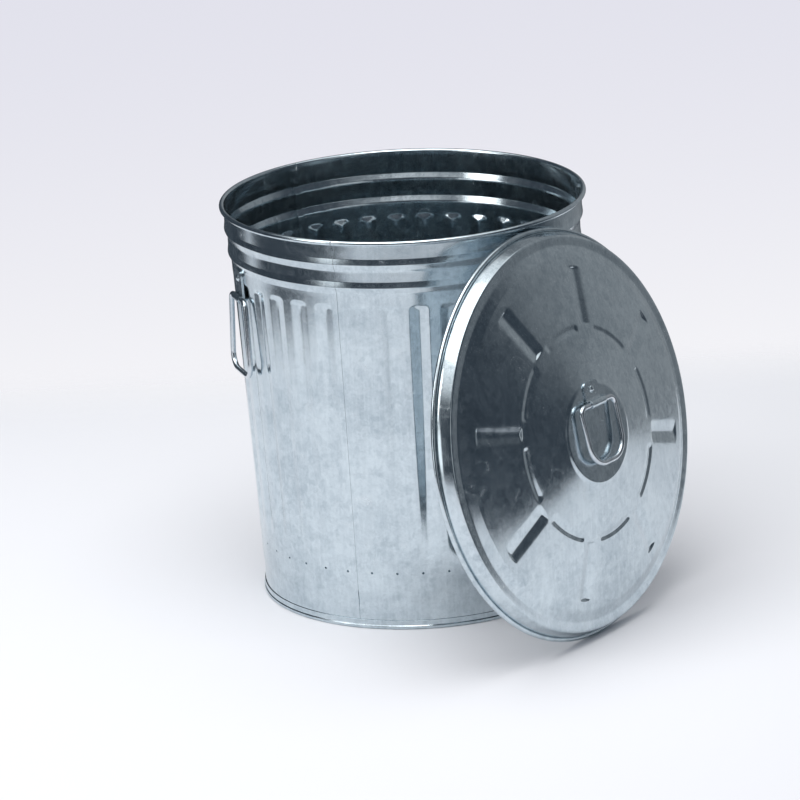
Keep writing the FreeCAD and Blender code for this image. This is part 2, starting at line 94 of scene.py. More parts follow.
def splitRuns(path, longest, slack=1.4):
    # longest(point) gives the longest edge wanted at that place, and slack is how far one may pass it
    finer = [path[0]]
    for end in path[1:]:
        start = finer[-1]
        run = (end - start).length
        while run > longest(start) * slack:
            start = start + (end - start) * (longest(start) / run)
            finer.append(start)
            run = (end - start).length
        finer.append(end)
    return finer


def chain(bm, path):
    verts = [bm.verts.new(point) for point in path]
    return verts + [bm.edges.new(pair) for pair in zip(verts, verts[1:])]


def spinPath(bm, path, start, span, steps):
    geom = chain(bm, path)
    aside = Matrix.Rotation(math.radians(start), 3, "Z")
    bmesh.ops.rotate(bm, verts=geom[:len(path)], cent=(0, 0, 0), matrix=aside)
    whole = abs(span - 360) < 0.001
    bmesh.ops.spin(bm, geom=geom, cent=(0, 0, 0), axis=(0, 0, 1), angle=math.radians(span), steps=steps,
                   use_merge=whole)
    if whole:
        bmesh.ops.remove_doubles(bm, verts=bm.verts, dist=0.001)


def softFloor(value, ease):
    # zero below -ease, the value above ease, and a smooth bend between
    if value <= -ease:
        return 0.0
    if value >= ease:
        return value
    return (value + ease) ** 2 / (4 * ease)


def grooveDepth(across, along, halfWidth, halfLength, depth, rise, corner, ease):
    # V-shaped pressing with hipped, rounded ends
    flank = depth / halfWidth
    valley = flank * (halfWidth - math.sqrt(across * across + ease * ease * 9) + ease)
    dx = max(abs(across) - (halfWidth - corner), 0)
    dy = max(abs(along) - (halfLength - corner), 0)
    hip = rise * (corner - math.hypot(dx, dy))
    lower = hip - softFloor(hip - valley, ease)
    return softFloor(lower, ease)


def makePiece(bm, name, node, body, material, place=None, thickness=0.0, rounded=0.0):
    mesh = bpy.data.meshes.new(name)
    for face in bm.faces:
        face.smooth = True
    bm.to_mesh(mesh)
    bm.free()
    scale = Matrix.Scale(mm, 4)
    mesh.transform(scale @ place if place else scale)
    piece = bpy.data.objects.new(name, mesh)
    bpy.context.scene.collection.objects.link(piece)
    mesh.materials.append(material)
    if thickness:
        wall = piece.modifiers.new("sheet", "SOLIDIFY")
        wall.thickness = thickness * mm
        wall.offset = 0
        wall.use_even_offset = True
    if rounded:
        rounding = piece.modifiers.new("edges", "BEVEL")
        rounding.width = rounded * mm
        rounding.segments = 2
        rounding.limit_method = "ANGLE"
        rounding.angle_limit = math.radians(50)
        rounding.harden_normals = True
    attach(piece, body)
    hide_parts(node)


# Materials

class Value:
    # one socket, with arithmetic that adds Math nodes
    def __init__(self, tree, socket):
        self.tree = tree
        self.socket = socket

    def math(self, operation, *others):
        return self.tree.add("ShaderNodeMath", dict(operation=operation), [self, *others])

    def __add__(self, other): return self.math("ADD", other)
    def __radd__(self, other): return self.math("ADD", other)
    def __sub__(self, other): return self.math("SUBTRACT", other)
    def __mul__(self, other): return self.math("MULTIPLY", other)
    def __rmul__(self, other): return self.math("MULTIPLY", other)
    def smallest(self, other): return self.math("MINIMUM", other)
    def largest(self, other): return self.math("MAXIMUM", other)

    def __rsub__(self, other):
        return self.tree.add("ShaderNodeMath", dict(operation="SUBTRACT"), [other, self])

    def ramp(self, low, high):
        # 0 below low, 1 above high, smooth between
        return self.tree.add("ShaderNodeMapRange", dict(interpolation_type="SMOOTHSTEP"),
                             {"Value": self, "From Min": low, "From Max": high})


class NodeTree:
    def __init__(self, tree):
        self.tree = tree
        tree.nodes.clear()

    def add(self, kind, settings=None, inputs=None, output=0):
        node = self.tree.nodes.new(kind)
        for key, value in (settings or {}).items():
            setattr(node, key, value)
        pairs = inputs.items() if isinstance(inputs, dict) else enumerate(inputs or [])
        for key, value in pairs:
            if isinstance(value, Value):
                self.tree.links.new(value.socket, node.inputs[key])
            else:
                node.inputs[key].default_value = value
        return Value(self, node.outputs[output]) if len(node.outputs) else None

    def noise(self, place, scale, detail=2.0, roughness=0.5, distortion=0.0, output=0):
        return self.add("ShaderNodeTexNoise", {}, {"Vector": place, "Scale": scale, "Detail": detail,
                        "Roughness": roughness, "Distortion": distortion}, output)

    def mixColour(self, factor, first, second):
        return self.add("ShaderNodeMix", dict(data_type="RGBA"), {0: factor, 6: first, 7: second}, output=2)

    def vector(self, operation, *inputs):
        return self.add("ShaderNodeVectorMath", dict(operation=operation), list(inputs))


zinc = dict(
    dark=(0.35, 0.42, 0.47, 1), light=(0.65, 0.73, 0.77, 1), bloom=(0.76, 0.82, 0.85, 1),
    crystal=110.0, fineCrystal=330.0, crystalShare=0.13, feather=0.022,
    clouds=0.62, grain=0.40, streaks=0.10, smudges=0.30, scratches=0.22,
    roughness=0.10, roughnessSpread=0.12, smudgeRoughness=0.10, scratchRoughness=0.08,
    wave=0.00045, waveMix=1.0, dimple=0.13, crystalRelief=0.000003, grainRelief=0.000012, scratchRelief=0.000003,
)
strapFinish = dict(zinc, crystal=240.0, fineCrystal=600.0, roughness=0.16, waveMix=0.15)
wireFinish = dict(zinc, crystal=300.0, crystalShare=0.06, roughness=0.12, light=(0.78, 0.81, 0.84, 1), waveMix=0.1)


def galvanized(name, settings):
    material = bpy.data.materials.new(name)
    material.use_nodes = True
    tree = NodeTree(material.node_tree)
    place = tree.add("ShaderNodeTexCoord", output=3)
    wander = tree.noise(place, 70.0, 4.0, 0.65, output=1)
    centred = tree.vector("SUBTRACT", wander, (0.5, 0.5, 0.5))
    strayed = tree.add("ShaderNodeVectorMath", dict(operation="SCALE"), {0: centred, 3: settings["feather"]})
    feathered = tree.vector("ADD", place, strayed)
    cells = tree.add("ShaderNodeTexVoronoi", dict(feature="SMOOTH_F1"), {
        "Vector": feathered, "Scale": settings["crystal"], "Smoothness": 0.35}, output=1)
    cellShade = tree.add("ShaderNodeSeparateColor", {}, [cells])
    fineCells = tree.add("ShaderNodeTexVoronoi", {}, {
        "Vector": feathered, "Scale": settings["fineCrystal"]}, output=1)
    fineShade = tree.add("ShaderNodeSeparateColor", {}, [fineCells], output=1)
    clouds = tree.noise(place, 11.0, 6.0, 0.62, 0.5)
    grain = tree.noise(place, 160.0, 5.0, 0.7, 0.8)
    smudges = tree.noise(place, 30.0, 6.0, 0.72, 1.6).ramp(0.54, 0.72)
    drawn = tree.vector("MULTIPLY", place, (260.0, 260.0, 22.0))
    streaks = tree.noise(drawn, 1.0, 4.0, 0.65).ramp(0.35, 0.75)
    scratched = tree.vector("MULTIPLY", place, (1500.0, 300.0, 90.0))
    scratches = tree.noise(scratched, 1.0, 2.0, 0.5, 0.6).ramp(0.70, 0.76)
    share = settings["crystalShare"]
    shade = cellShade * share + fineShade * (share * 0.6)
    shade = shade + clouds * settings["clouds"] + grain * settings["grain"] + streaks * settings["streaks"] - 0.05
    colour = tree.mixColour(shade.ramp(0.2, 0.85), settings["dark"], settings["light"])
    worn = smudges * settings["smudges"] + scratches * settings["scratches"]
    colour = tree.mixColour(worn, colour, settings["bloom"])
    spread = settings["roughnessSpread"]
    rough = cellShade * (spread * 0.35) + grain * (spread * 0.6) + clouds * (spread * 0.6) - spread * 0.2
    rough = rough + smudges * settings["smudgeRoughness"] + scratches * settings["scratchRoughness"]
    rough = rough + settings["roughness"]
    wave = tree.noise(tree.vector("MULTIPLY", place, (1.0, 1.0, 0.45)), 9.0, 2.0, 0.5)
    dimple = tree.noise(place, 38.0, 3.0, 0.55)
    relief = wave * (settings["wave"] * settings["waveMix"])
    relief = relief + dimple * (settings["wave"] * settings["dimple"] * settings["waveMix"])
    relief = relief + cellShade * settings["crystalRelief"] + grain * settings["grainRelief"]
    relief = relief - scratches * settings["scratchRelief"]
    bump = tree.add("ShaderNodeBump", {}, {"Strength": 1.0, "Distance": 1.0, "Height": relief})
    shader = tree.add("ShaderNodeBsdfPrincipled", {}, {
        "Base Color": colour, "Metallic": 1.0, "Roughness": rough, "Normal": bump})
    tree.add("ShaderNodeOutputMaterial", {}, {"Surface": shader})
    return material


sheetZinc = galvanized("galvanizedSheet", zinc)
strapZinc = galvanized("galvanizedStrap", strapFinish)
wireZinc = galvanized("galvanizedWire", wireFinish)
print("materials made")


# Can wall

def beadPoints(radius, height):
    # the sheet flares out to a low ridge before it steps in, as (x, z, rounding) from the ridge up
    return [(radius + can["bead"], height, can["beadRound"]), (radius, height + can["beadFlare"], can["flareRound"])]


def wallPath():
    outer = can["sheet"] / 2
    middle = can["coneTopRadius"] + can["stepWidth"]
    collar = middle + can["stepWidth"]
    rollHeight = can["height"] - can["rollWire"] - can["sheet"]
    rollCentre = can["rimRadius"] - can["rollWire"] - can["sheet"]
    points = [
        (can["bandRadius"], can["foot"], 0), (can["bandRadius"], can["bandTop"], can["swageRound"]),
        (can["swageRadius"], can["swageTop"], can["swageRound"]),
        (can["coneTopRadius"], can["lowerBead"] - can["beadReturn"], can["shoulderRound"]),
        *beadPoints(middle, can["lowerBead"]),
        (middle, can["upperBead"] - can["beadReturn"], can["shoulderRound"]),
        *beadPoints(collar, can["upperBead"]),
        (collar, rollHeight, 0)]
    path = roundedPath([(x - outer, z, rounding) for x, z, rounding in points])
    rolledEdge(path, rollCentre, rollHeight, can["rollWire"] + outer, 180, -315)

    def longest(point):
        # the grid is fine where the ribs end and coarse along them
        reach = wallGrid["reach"]
        if abs(point.z - ribs["top"] + reach) < 2 * reach:
            return wallGrid["ribTop"]
        if 0 < point.z - ribs["foot"] + reach < ribs["fade"] + 2 * reach:
            return wallGrid["ribFoot"]
        return wallGrid["cone"] if ribs["foot"] < point.z < ribs["top"] else wallGrid["plain"]

    path = splitRuns(path, longest)
    half = holes["diameter"] / 2
    path = [point for point in path if abs(point.z - holes["height"]) > half + holes["clear"]]
    place = next(i for i, point in enumerate(path) if point.z > holes["height"])
    levels = [holes["height"] - half, holes["height"], holes["height"] + half]
    path[place:place] = [Vector((coneRadius(level) - outer, 0, level)) for level in levels]
    return path


def coneRadius(z):
    share = (z - can["swageTop"]) / (can["lowerStep"] - can["swageTop"])
    return can["swageRadius"] + (can["coneTopRadius"] - can["swageRadius"]) * share


wallTilt = math.atan2(can["coneTopRadius"] - can["swageRadius"], can["lowerStep"] - can["swageTop"])


def pressRibs(bm):
    middle = (ribs["foot"] + ribs["top"]) / 2
    halfLength = (ribs["top"] - ribs["foot"]) / 2
    half = math.radians(ribs["halfAngle"])
    pitch = math.radians(ribs["pitch"])
    first = -pitch * (ribs["count"] - 1) / 2
    for vert in bm.verts:
        if abs(vert.co.z - middle) > halfLength + 2:
            continue
        azimuth = math.atan2(vert.co.y, vert.co.x)
        number = min(max(round((azimuth - first) / pitch), 0), ribs["count"] - 1)
        radius = coneRadius(vert.co.z)
        across = (azimuth - first - number * pitch) * radius
        share = min(max((vert.co.z - ribs["foot"]) / ribs["fade"], 0.001), 1)
        fade = share * share * (3 - 2 * share)
        depth = grooveDepth(across, vert.co.z - middle, half * radius, halfLength,
                            ribs["depth"] * fade, ribs["rise"], ribs["corner"], ribs["ease"])
        outward = Vector((math.cos(azimuth) * math.cos(wallTilt), math.sin(azimuth) * math.cos(wallTilt),
                          -math.sin(wallTilt)))
        vert.co -= outward * depth


def punchHoles(bm):
    # the eight points round a grid point move onto the hole's edge, and that point goes
    radius = coneRadius(holes["height"])
    half = holes["diameter"] / 2
    row = [vert for vert in bm.verts if abs(vert.co.z - holes["height"]) < 0.01]
    for k in range(holes["count"]):
        azimuth = math.radians(120 / holes["count"]) * (k - (holes["count"] - 1) / 2)
        nearest = min(row, key=lambda vert: abs(math.atan2(vert.co.y, vert.co.x) - azimuth))
        column = math.atan2(nearest.co.y, nearest.co.x)
        around = {vert for face in nearest.link_faces for vert in face.verts} - {nearest}
        for vert in around:
            across = (math.atan2(vert.co.y, vert.co.x) - column) * radius
            turn = round(math.atan2(vert.co.z - nearest.co.z, across) / (math.pi / 4)) * math.pi / 4
            level = holes["height"] + half * math.sin(turn)
            side = azimuth + half * math.cos(turn) / radius
            distance = coneRadius(level) - can["sheet"] / 2
            vert.co = Vector((distance * math.cos(side), distance * math.sin(side), level))
        row.remove(nearest)
        bm.verts.remove(nearest)


def foldHook(bm, azimuth, moves):
    # folds the sheet's edge over itself: each move is (millimetres inward, millimetres along the wall)
    side = Matrix.Rotation(-azimuth, 3, "Z")
    low, high = seam["foot"] - seam["margin"], seam["top"] + seam["margin"]
    edges = []
    for edge in bm.edges:
        if not edge.is_boundary:
            continue
        ends = [side @ vert.co for vert in edge.verts]
        if all(abs(end.y) < 0.05 and low < end.z < high and end.x < seam["rollStart"] for end in ends):
            edges.append(edge)
    for inward, along in moves:
        made = bmesh.ops.extrude_edge_only(bm, edges=edges)["geom"]
        verts = [item for item in made if isinstance(item, bmesh.types.BMVert)]
        edges = [item for item in made if isinstance(item, bmesh.types.BMEdge)]
        for vert in verts:
            flat = Vector((vert.co.x, vert.co.y, 0))
            vert.co -= flat.normalized() * inward
        shift = Matrix.Rotation(along / seam["radius"], 3, "Z")
        bmesh.ops.rotate(bm, verts=verts, cent=(0, 0, 0), matrix=shift)


panelPath = wallPath()
seamTurn = math.degrees(seam["width"] / can["coneTopRadius"])
near = -60 - seamTurn / 2 + math.degrees(seam["nearGap"] / can["coneTopRadius"])
far = 60 - seamTurn / 2 - math.degrees(seam["farGap"] / can["coneTopRadius"])
for number, node in enumerate(["panel_front", "panel_back", "panel_left"]):
    bm = bmesh.new()
    spinPath(bm, panelPath, near, far - near, wallGrid["columns"])
    pressRibs(bm)
    punchHoles(bm)
    foldHook(bm, math.radians(near), seam["nearFolds"])
    foldHook(bm, math.radians(far), seam["farFolds"])
    bmesh.ops.recalc_face_normals(bm, faces=bm.faces)
    turn = Matrix.Rotation(math.radians(seam["azimuth"] + 60 + 120 * number), 4, "Z")
    makePiece(bm, node.replace("_", "") + "Sheet", node, "can", sheetZinc,
              turn, can["sheet"], edgeRound)
print("wall panels made")


# Bottom

bottom = dict(
    sheet=1.0, height=34.0, ringRadius=150.0, ringRise=3.0, ringRun=3.0, ringRound=5.0, skirt=205.5, skirtRound=3.0,
    lowest=0.5, bead=208.5, beadCut=0.7, beadFoot=1.3, beadTop=4.0, hem=207.4, hemFoot=5.2, hemRound=0.6,
    hemHeight=12.0, longest=12.0, columns=240, edgeRound=0.2,
)


def bottomPath():
    top = bottom["height"] - bottom["sheet"] / 2
    points = [
        (0, top + bottom["ringRise"], 0),
        (bottom["ringRadius"] - bottom["ringRun"], top + bottom["ringRise"], bottom["ringRound"]),
        (bottom["ringRadius"], top, bottom["ringRound"]), (bottom["skirt"], top, bottom["skirtRound"]),
        (bottom["skirt"], bottom["lowest"], 0), (bottom["bead"] - bottom["beadCut"], bottom["lowest"], 0),
        (bottom["bead"], bottom["beadFoot"], 0), (bottom["bead"], bottom["beadTop"], bottom["hemRound"]),
        (bottom["hem"], bottom["hemFoot"], bottom["hemRound"]), (bottom["hem"], bottom["hemHeight"], 0)]
    return splitRuns(roundedPath(points, 5), lambda point: bottom["longest"])


bm = bmesh.new()
spinPath(bm, bottomPath(), 0, 360, bottom["columns"])
bmesh.ops.recalc_face_normals(bm, faces=bm.faces)
makePiece(bm, "bottomPan", "bottom_pan", "can", sheetZinc, None, bottom["sheet"],
          bottom["edgeRound"])
print("bottom made")


# Straps, rivets and wire handles

strap = dict(
    sheet=1.5, width=28.0, height=38.0, bore=3.58, standOff=5.13, rivetHeight=27.0, corner=6.0, edgeRound=0.3,
    foldGap=0.02, curlStart=185.0, curlEnd=500.0, curlSteps=24, endRow=8,
)
rivet = dict(head=5.0, headHeight=2.4, headEdge=0.25, shank=2.5, clench=1.2, clenchRadii=(2.5, 3.6, 4.2), back=-0.9,
             domeSteps=7, columns=40)
handle = dict(
    wire=3.5, top=66.0, foot=86.0, length=104.0, topRound=9.0, footRound=18.0, azimuth=-124.4, height=420.0,
)
lidHandle = dict(wire=3.5, top=82.0, foot=76.0, length=80.0, topRound=10.0, footRound=27.0, clear=0.3)
loopSides, loopBendSteps = 28, 10
lidStrap = dict(strap, width=30.0, height=28.0, rivetHeight=18.0, standOff=7.5)
touchGap = 0.05


def makeStrap(sizes):
    # strip folded over the bar: X along the bar, Y away from the wall, Z up
    bm = bmesh.new()
    middle = sizes["bore"] + sizes["sheet"] / 2
    back = touchGap + sizes["sheet"] / 2
    front = back + sizes["sheet"] + sizes["foldGap"]
    centre = sizes["standOff"]
    inner = sizes["height"] - sizes["endRow"]
    path = [Vector((0, back, sizes["height"])), Vector((0, back, inner)), Vector((0, back, sizes["endRow"])),
            Vector((0, back, 3))]
    if centre - middle > back + 0.3:
        path.append(Vector((0, centre - middle, -1.5)))
    steps = sizes["curlSteps"]
    for k in range(steps + 1):
        angle = math.radians(sizes["curlStart"] + (sizes["curlEnd"] - sizes["curlStart"]) * k / steps)
        path.append(Vector((0, centre + middle * math.cos(angle), middle * math.sin(angle))))
    path += [Vector((0, front + 0.25, middle * 0.75 + 2)), Vector((0, front, middle + 3)),
             Vector((0, front, inner)), Vector((0, front, sizes["height"]))]
    verts = [bm.verts.new(point - Vector((sizes["width"] / 2, 0, 0))) for point in path]
    edges = [bm.edges.new(pair) for pair in zip(verts, verts[1:])]
    for k in range(4):
        made = bmesh.ops.extrude_edge_only(bm, edges=edges)["geom"]
        moved = [item for item in made if isinstance(item, bmesh.types.BMVert)]
        edges = [item for item in made if isinstance(item, bmesh.types.BMEdge)]
        bmesh.ops.translate(bm, verts=moved, vec=(sizes["width"] / 4, 0, 0))
    corners = [vert for vert in bm.verts
               if vert.co.z > sizes["height"] - 0.01 and abs(vert.co.x) > sizes["width"] / 2 - 0.01]
    bmesh.ops.bevel(bm, geom=corners, affect="VERTICES", offset=sizes["corner"], segments=5, profile=0.5,
                    material=-1)
    bmesh.ops.recalc_face_normals(bm, faces=bm.faces)
    return bm


def makeRivet(sizes):
    # domed outside, clenched inside: the axis is Y away from the wall
    bm = bmesh.new()
    front, back = touchGap + 2 * sizes["sheet"], rivet["back"]
    head, dome = rivet["head"], rivet["headHeight"]
    sphere = (head * head + dome * dome) / (2 * dome)
    clench, shank, steps = rivet["clench"], rivet["shank"], rivet["domeSteps"]
    flat, slant, wide = rivet["clenchRadii"]
    path = [Vector((0, 0, back - clench)), Vector((flat, 0, back - clench)), Vector((slant, 0, back - clench * 0.7)),
            Vector((wide, 0, back)), Vector((shank, 0, back)), Vector((shank, 0, front)), Vector((head, 0, front)),
            Vector((head, 0, front + rivet["headEdge"]))]
    for k in range(1, steps + 1):
        radius = head * math.cos(math.pi / 2 * k / steps)
        path.append(Vector((radius, 0, front + dome - sphere + math.sqrt(sphere ** 2 - radius ** 2))))
    spinPath(bm, path, 0, 360, rivet["columns"])
    bmesh.ops.recalc_face_normals(bm, faces=bm.faces)
    upright = Matrix(((0, 1, 0, 0), (0, 0, 1, 0), (1, 0, 0, sizes["rivetHeight"]), (0, 0, 0, 1)))
    bmesh.ops.transform(bm, matrix=upright, verts=bm.verts)
    return bm


def bendRing(bm, ring, centre, angle, steps):
    made = bmesh.ops.spin(bm, geom=ring, cent=centre, axis=(0, 1, 0), angle=angle, steps=steps, use_merge=False)
    return made["geom_last"]


def runRing(bm, ring, travel):
    made = bmesh.ops.spin(bm, geom=ring, cent=(0, 0, 0), axis=(0, 1, 0), angle=0, dvec=travel, steps=1,
                          use_merge=False)
    return made["geom_last"]


def makeLoop(sizes):
    # closed wire loop hanging from its bar, which lies along X at the origin
    bm = bmesh.new()
    wire = sizes["wire"]
    top = sizes["top"] / 2 - wire
    foot = sizes["foot"] / 2 - wire
    low = -sizes["length"] + wire
    made = bmesh.ops.create_circle(bm, cap_ends=False, segments=loopSides, radius=wire)
    bmesh.ops.rotate(bm, verts=made["verts"], cent=(0, 0, 0), matrix=Matrix.Rotation(math.pi / 2, 3, "Y"))
    ring = list(bm.verts) + list(bm.edges)
    corners = [Vector((top, 0, 0)), Vector((foot, 0, low)), Vector((-foot, 0, low)), Vector((-top, 0, 0))]
    radii = [sizes["topRound"], sizes["footRound"], sizes["footRound"], sizes["topRound"]]
    here = Vector((0, 0, 0))
    around = [here] + corners + [here]
    for k, corner in enumerate(corners):
        back = (around[k] - corner).normalized()
        ahead = (around[k + 2] - corner).normalized()
        half = back.angle(ahead) / 2
        start = corner + back * (radii[k] / math.tan(half))
        ring = runRing(bm, ring, start - here)
        centre = corner + (back + ahead).normalized() * (radii[k] / math.sin(half))
        turn = math.pi - 2 * half
        ring = bendRing(bm, ring, centre, turn, loopBendSteps)
        here = corner + ahead * (radii[k] / math.tan(half))
    runRing(bm, ring, -here)
    bmesh.ops.remove_doubles(bm, verts=bm.verts, dist=0.01)
    bmesh.ops.recalc_face_normals(bm, faces=bm.faces)
    return bm


def placing(origin, xAxis, yAxis, zAxis):
    return Matrix(((xAxis.x, yAxis.x, zAxis.x, origin.x), (xAxis.y, yAxis.y, zAxis.y, origin.y),
                   (xAxis.z, yAxis.z, zAxis.z, origin.z), (0, 0, 0, 1)))


for side, azimuth in (("left", handle["azimuth"]), ("right", handle["azimuth"] + 180)):
    outward = Vector((math.cos(math.radians(azimuth)), math.sin(math.radians(azimuth)), 0))
    normal = outward * math.cos(wallTilt) - Vector((0, 0, math.sin(wallTilt)))
    along = outward * math.sin(wallTilt) + Vector((0, 0, math.cos(wallTilt)))
    across = normal.cross(along)
    seat = outward * coneRadius(handle["height"]) + Vector((0, 0, handle["height"]))
    onWall = placing(seat, across, normal, along)
    makePiece(makeStrap(strap), side + "Strap", side + "_strap", "can", strapZinc,
              onWall, strap["sheet"], strap["edgeRound"])
    makePiece(makeRivet(strap), side + "Rivet", side + "_rivet", "can", strapZinc, onWall)
    hanging = placing(seat + normal * strap["standOff"], across, outward, Vector((0, 0, 1)))
    makePiece(makeLoop(handle), side + "Handle", side + "_handle", side + "_handle", wireZinc,
              hanging)
print("side handles made")


# Lid

lid = dict(
    sheet=0.8, corner=253.0, cornerRound=3.2, wire=262.0, rollWire=2.5, depth=20.0, skirtDrop=6.0, skirtRound=20.0,
    land=240.0, landRound=9.0, foot=226.0, footHeight=6.0, slope=0.2,
    boss=68.0, bossRise=2.0, bossRun=4.0, bossRound=7.0, barHeight=40.0,
    tilt=10.5, origin=(303.9874950430458, -65.0, 264.557496291599), columns=350, ribEnd=1.3, plain=5.0,
)
lidRibs = dict(
    count=8, turn=30.3, inner=138.0, outer=214.0, halfWidth=13.0, depth=2.8, rise=0.8, corner=7.0, ease=0.4,
)
lidArcs = dict(radius=134.0, halfWidth=6.0, depth=1.8, span=31.0, rise=0.45, corner=4.5, ease=0.3, reach=12.0)


def coneHeight(radius):
    return lid["footHeight"] + (lid["foot"] - radius) * lid["slope"]


def lidPath():
    # the face runs half a sheet above its underside, and the skirt half a sheet inside the roll
    half = lid["sheet"] / 2
    top = coneHeight(lid["boss"]) + lid["bossRise"]
    skirt = lid["wire"] - lid["rollWire"] - half
    face = [
        (0, top, 0), (lid["boss"] - lid["bossRun"], top, lid["bossRound"]),
        (lid["boss"], top - lid["bossRise"], lid["bossRound"]), (lid["foot"], lid["footHeight"], lid["landRound"]),
        (lid["land"], 0, lid["landRound"]), (lid["corner"], 0, lid["cornerRound"])]
    path = roundedPath([(x, z + half, rounding) for x, z, rounding in face] + [
        (skirt, -lid["depth"] + lid["skirtDrop"], lid["skirtRound"]), (skirt, -lid["depth"], 0)], 7)
    rolledEdge(path, lid["wire"], -lid["depth"], lid["rollWire"] + half, 180, 315)

    def longest(point):
        # the grid is fine where the ribs end
        nearEnd = abs(point.x - lidRibs["inner"]) < 12 or abs(point.x - lidRibs["outer"] + 3) < 7
        return lid["ribEnd"] if nearEnd else lid["plain"]

    return splitRuns(path, longest)


def pressLid(bm):
    slope = math.atan(lid["slope"])
    pitch = 2 * math.pi / lidRibs["count"]
    turn = math.radians(lidRibs["turn"])
    middle = (lidRibs["inner"] + lidRibs["outer"]) / 2
    halfLength = (lidRibs["outer"] - lidRibs["inner"]) / 2
    for vert in bm.verts:
        radius = math.hypot(vert.co.x, vert.co.y)
        if not lidArcs["radius"] - lidArcs["reach"] < radius < lid["foot"]:
            continue
        azimuth = math.atan2(vert.co.y, vert.co.x)
        fromRib = (azimuth - turn + pitch / 2) % pitch - pitch / 2
        across = radius * math.sin(fromRib)
        rib = grooveDepth(across, (radius * math.cos(fromRib) - middle) / math.cos(slope), lidRibs["halfWidth"],
                          halfLength / math.cos(slope), lidRibs["depth"], lidRibs["rise"], lidRibs["corner"],
                          lidRibs["ease"])
        fromArc = (azimuth - turn) % pitch - pitch / 2
        halfArc = math.radians(lidArcs["span"]) / 2 * radius
        arc = grooveDepth(radius - lidArcs["radius"], fromArc * radius, lidArcs["halfWidth"], halfArc,
                          lidArcs["depth"], lidArcs["rise"], lidArcs["corner"], lidArcs["ease"])
        outward = Vector((math.cos(azimuth) * math.sin(slope), math.sin(azimuth) * math.sin(slope),
                          math.cos(slope)))
        vert.co -= outward * max(rib, arc)


tilt = math.radians(lid["tilt"])
lidNormal = Vector((math.cos(tilt), 0, math.sin(tilt)))
lidUp = Vector((-math.sin(tilt), 0, math.cos(tilt)))
lidAcross = Vector((0, 1, 0))
lidOrigin = Vector(lid["origin"])
onLid = placing(lidOrigin, lidAcross, lidUp, lidNormal)
bossTop = coneHeight(lid["boss"]) + lid["bossRise"] + lid["sheet"]

bm = bmesh.new()
spinPath(bm, lidPath(), 0, 360, lid["columns"])
pressLid(bm)
bmesh.ops.recalc_face_normals(bm, faces=bm.faces)
makePiece(bm, "lidCover", "lid_cover", "lid", sheetZinc, onLid, lid["sheet"], edgeRound)
bossSeat = lidOrigin + lidUp * lid["barHeight"] + lidNormal * (bossTop - lid["sheet"])
onBoss = placing(bossSeat, -lidAcross, lidNormal, lidUp)
makePiece(makeStrap(lidStrap), "lidStrap", "lid_strap", "lid", strapZinc, onBoss,
          lidStrap["sheet"], lidStrap["edgeRound"])
makePiece(makeRivet(lidStrap), "lidRivet", "lid_rivet", "lid", strapZinc, onBoss)
loop = makeLoop(lidHandle)
# the loop swings down until its foot lies just above the lid
fall = lidStrap["standOff"] - lidHandle["wire"] - lidHandle["clear"]
drop = math.asin(fall / (lidHandle["length"] - lidHandle["wire"]))
bmesh.ops.rotate(loop, verts=loop.verts, cent=(0, 0, 0), matrix=Matrix.Rotation(drop, 3, "X"))
bar = placing(bossSeat + lidNormal * lidStrap["standOff"], -lidAcross, lidNormal, lidUp)
makePiece(loop, "lidHandle", "lid_handle", "lid_handle", wireZinc, bar)
print("lid made")

for node in ("rim_wire", "lid_wire"):
    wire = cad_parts[node]
    wire.data.materials.clear()
    wire.data.materials.append(wireZinc)


# Floor, light and camera

camera = dict(distance=6.0098, height=2.1070, turn=37.25, pitch=0.2987, yaw=-0.0024, roll=-0.0491,
              focal=4751.1, centreX=400.94, centreY=393.67, picture=800, sensor=36)
studio = dict(
    paper=(0.84, 0.84, 0.87, 1), paperSize=4,
    paperLeft=-1.10, paperRight=1.05, paperFront=-2.3, paperBack=0.75, paperEdge=0.30,
    skyHigh=(0.76, 0.76, 0.84, 1), skyLow=(1.0, 1.0, 1.0, 1), skyBend=(-0.36, -0.20),
    room=(0.055, 0.068, 0.085, 1), glow=(0.96, 0.98, 1.0, 1), aimHeight=0.25,
)
lamps = [
    # name, azimuth, elevation, distance, width, height, power
    ("overheadBox", -30, 75, 2.6, 2.4, 2.0, 46),
    ("leftBox", -62, 30, 3.0, 1.0, 1.2, 12),
]
boxes = [
    # azimuth and elevation of the middle, cosines where it fades in, strength
    (-20, 82, 0.62, 0.80, 1.1),
    (-50, 6, 0.965, 0.985, 1.6),
    (36, 12, 0.95, 0.98, 0.5),
    (138, 16, 0.60, 0.93, 0.26),
]
toCamera = math.radians(camera["turn"] - 90)

paper = bpy.data.meshes.new("paper")
bm = bmesh.new()
bmesh.ops.create_grid(bm, x_segments=8, y_segments=8, size=studio["paperSize"])
squared = Matrix.Rotation(math.radians(camera["turn"]), 3, "Z")
bmesh.ops.rotate(bm, verts=bm.verts, cent=(0, 0, 0), matrix=squared)
bm.to_mesh(paper)
bm.free()
floor = bpy.data.objects.new("floor", paper)
bpy.context.scene.collection.objects.link(floor)
floorPaper = bpy.data.materials.new("floorPaper")
floorPaper.use_nodes = True
tree = NodeTree(floorPaper.node_tree)
place = tree.add("ShaderNodeTexCoord", output=3)
turnedBack = tree.add("ShaderNodeVectorRotate", dict(rotation_type="Z_AXIS"),
                      {"Vector": place, "Angle": -math.radians(camera["turn"])})
sideways = tree.add("ShaderNodeSeparateXYZ", {}, [turnedBack])
away = tree.add("ShaderNodeSeparateXYZ", {}, [turnedBack], output=1)
edge = studio["paperEdge"]
